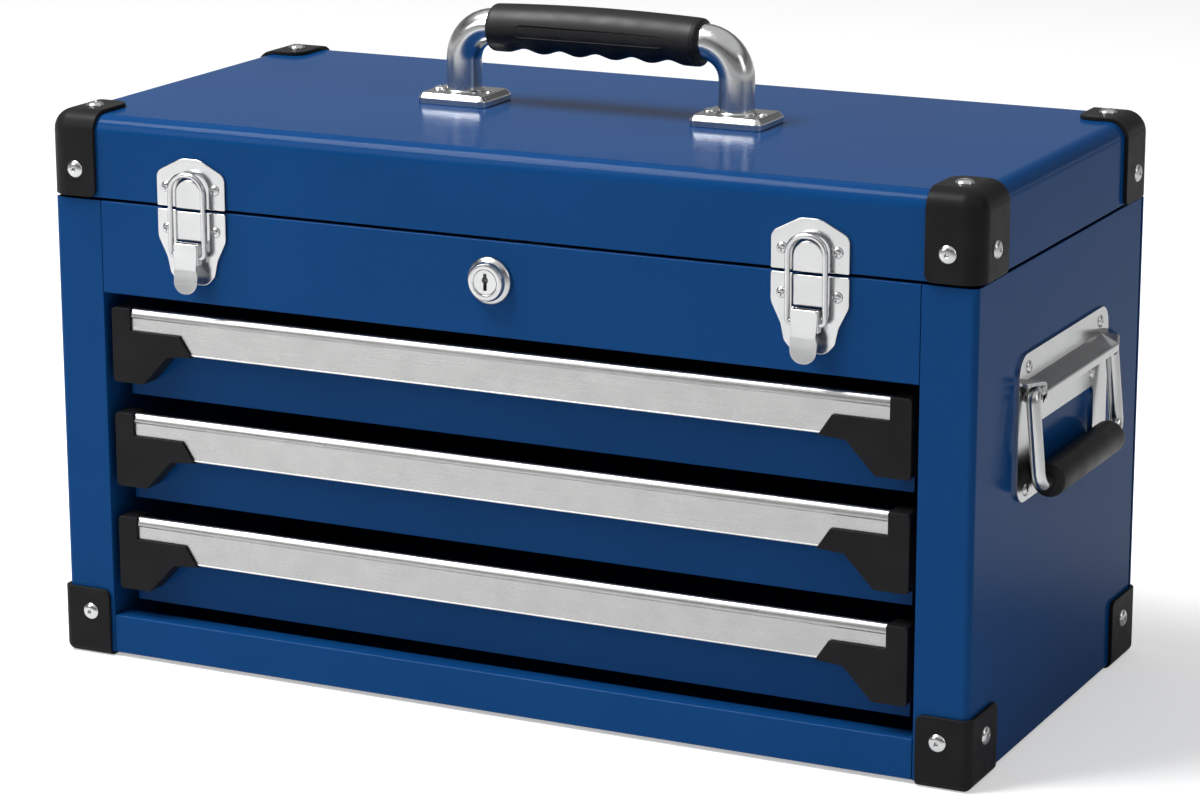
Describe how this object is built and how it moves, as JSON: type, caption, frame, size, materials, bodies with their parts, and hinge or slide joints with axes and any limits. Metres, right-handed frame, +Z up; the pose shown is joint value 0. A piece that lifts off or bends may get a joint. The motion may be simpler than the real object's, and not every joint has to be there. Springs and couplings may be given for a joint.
{
  "type": "portable tool box with drawers",
  "caption": "Portable steel tool box with a hinged lid over a top tray, a stack of drawers on ball-bearing slides, draw latches, a cam lock and folding side handles.",
  "frame": {"origin": "middle of the case's footprint, at the plane that the four lower corner guards stand on; the bounding box's middle is 3 mm in front of it", "axes": "+X along the box to its right as seen from the front, -Y out of the front, +Z up"},
  "size_m": [0.5618, 0.2655, 0.3519],
  "materials": {
    "blue_enamel": "gloss baked enamel",
    "black_plastic": "satin moulded",
    "brushed_aluminium": "brushed along its length",
    "zinc_plated_steel": "bright zinc",
    "chrome": "polished",
    "rubber": "matt"
  },
  "bodies": {
    "case": {"side_panel_right": "blue_enamel", "side_panel_left": "blue_enamel", "slide_upright_right": "blue_enamel", "slide_upright_left": "blue_enamel", "back_panel": "blue_enamel", "bottom_panel": "blue_enamel", "top_front_panel": "blue_enamel", "top_tray_floor": "blue_enamel", "slide_channels_right": "zinc_plated_steel", "slide_channels_left": "zinc_plated_steel", "case_corner_guards_front": "black_plastic", "case_corner_guards_rear": "black_plastic", "hinge_leaf_case": "zinc_plated_steel", "hinge_pin": "zinc_plated_steel", "latch_base_right": "chrome", "latch_base_left": "chrome", "case_rivets": "chrome", "case_latch_screws": "chrome", "lock_housing": "chrome", "lock_nut": "zinc_plated_steel", "side_handle_plate_right": "chrome", "side_handle_plate_left": "chrome"},
    "lid": {"lid_shell": "blue_enamel", "hinge_leaf_lid": "zinc_plated_steel", "lid_corner_guards_front": "black_plastic", "lid_corner_guards_rear": "black_plastic", "latch_catch_right": "chrome", "latch_catch_left": "chrome", "lid_rivets": "chrome", "lid_latch_screws": "chrome", "handle_foot_right": "chrome", "handle_foot_left": "chrome", "handle_tube": "chrome", "handle_grip": "rubber", "lock_strike": "zinc_plated_steel"},
    "lock": {"lock_plug": "chrome", "lock_cam": "zinc_plated_steel"},
    "drawer_1": {"drawer_1_tray": "blue_enamel", "drawer_1_pull": "brushed_aluminium", "drawer_1_end_caps": "black_plastic", "drawer_1_rails": "zinc_plated_steel"},
    "cage_1": {"drawer_1_ball_cages": "zinc_plated_steel"},
    "drawer_2": {"drawer_2_tray": "blue_enamel", "drawer_2_pull": "brushed_aluminium", "drawer_2_end_caps": "black_plastic", "drawer_2_rails": "zinc_plated_steel"},
    "cage_2": {"drawer_2_ball_cages": "zinc_plated_steel"},
    "drawer_3": {"drawer_3_tray": "blue_enamel", "drawer_3_pull": "brushed_aluminium", "drawer_3_end_caps": "black_plastic", "drawer_3_rails": "zinc_plated_steel"},
    "cage_3": {"drawer_3_ball_cages": "zinc_plated_steel"},
    "latch_lever_right": {"latch_lever_right": "chrome"},
    "latch_wire_right": {"latch_wire_right": "chrome"},
    "side_handle_right": {"side_handle_bail_right": "chrome", "side_handle_grip_right": "rubber"},
    "latch_lever_left": {"latch_lever_left": "chrome"},
    "latch_wire_left": {"latch_wire_left": "chrome"},
    "side_handle_left": {"side_handle_bail_left": "chrome", "side_handle_grip_left": "rubber"}
  },
  "joints": [
    {"name": "lid_hinge", "type": "hinge", "parent": "case", "child": "lid", "pos_m": [0, 0.12702, 0.2526], "axis": [-1, 0, 0], "range_deg": [0, 95]},
    {"name": "lock_turn", "type": "hinge", "parent": "case", "child": "lock", "pos_m": [0, -0.124, 0.2313], "axis": [0, 1, 0], "range_deg": [0, 90]},
    {"name": "drawer_1_slide", "type": "slide", "parent": "case", "child": "drawer_1", "axis": [0, -1, 0], "range_m": [0, 0.15]},
    {"name": "cage_1_slide", "type": "slide", "parent": "case", "child": "cage_1", "axis": [0, -1, 0], "range_m": [0, 0.075]},
    {"name": "drawer_2_slide", "type": "slide", "parent": "case", "child": "drawer_2", "axis": [0, -1, 0], "range_m": [0, 0.15]},
    {"name": "cage_2_slide", "type": "slide", "parent": "case", "child": "cage_2", "axis": [0, -1, 0], "range_m": [0, 0.075]},
    {"name": "drawer_3_slide", "type": "slide", "parent": "case", "child": "drawer_3", "axis": [0, -1, 0], "range_m": [0, 0.15]},
    {"name": "cage_3_slide", "type": "slide", "parent": "case", "child": "cage_3", "axis": [0, -1, 0], "range_m": [0, 0.075]},
    {"name": "latch_lever_right_turn", "type": "hinge", "parent": "case", "child": "latch_lever_right", "pos_m": [0.1744, -0.1292, 0.2346], "axis": [-1, 0, 0], "range_deg": [0, 100]},
    {"name": "latch_wire_right_turn", "type": "hinge", "parent": "latch_lever_right", "child": "latch_wire_right", "pos_m": [0.1744, -0.1297, 0.2281], "axis": [1, 0, 0], "range_deg": [0, 112]},
    {"name": "side_handle_right_turn", "type": "hinge", "parent": "case", "child": "side_handle_right", "pos_m": [0.2659, 0, 0.18675], "axis": [0, -1, 0], "range_deg": [0, 83]},
    {"name": "latch_lever_left_turn", "type": "hinge", "parent": "case", "child": "latch_lever_left", "pos_m": [-0.1744, -0.1292, 0.2346], "axis": [-1, 0, 0], "range_deg": [0, 100]},
    {"name": "latch_wire_left_turn", "type": "hinge", "parent": "latch_lever_left", "child": "latch_wire_left", "pos_m": [-0.1744, -0.1297, 0.2281], "axis": [1, 0, 0], "range_deg": [0, 112]},
    {"name": "side_handle_left_turn", "type": "hinge", "parent": "case", "child": "side_handle_left", "pos_m": [-0.2659, 0, 0.18675], "axis": [0, 1, 0], "range_deg": [0, 83]}
  ],
  "couplings": [
    {"joint": "cage_1_slide", "follows": "drawer_1_slide", "ratio": 0.5},
    {"joint": "cage_2_slide", "follows": "drawer_2_slide", "ratio": 0.5},
    {"joint": "cage_3_slide", "follows": "drawer_3_slide", "ratio": 0.5},
    {"joint": "latch_wire_right_turn", "follows": "latch_lever_right_turn", "ratio": 1.1},
    {"joint": "latch_wire_left_turn", "follows": "latch_lever_left_turn", "ratio": 1.1}
  ]
}
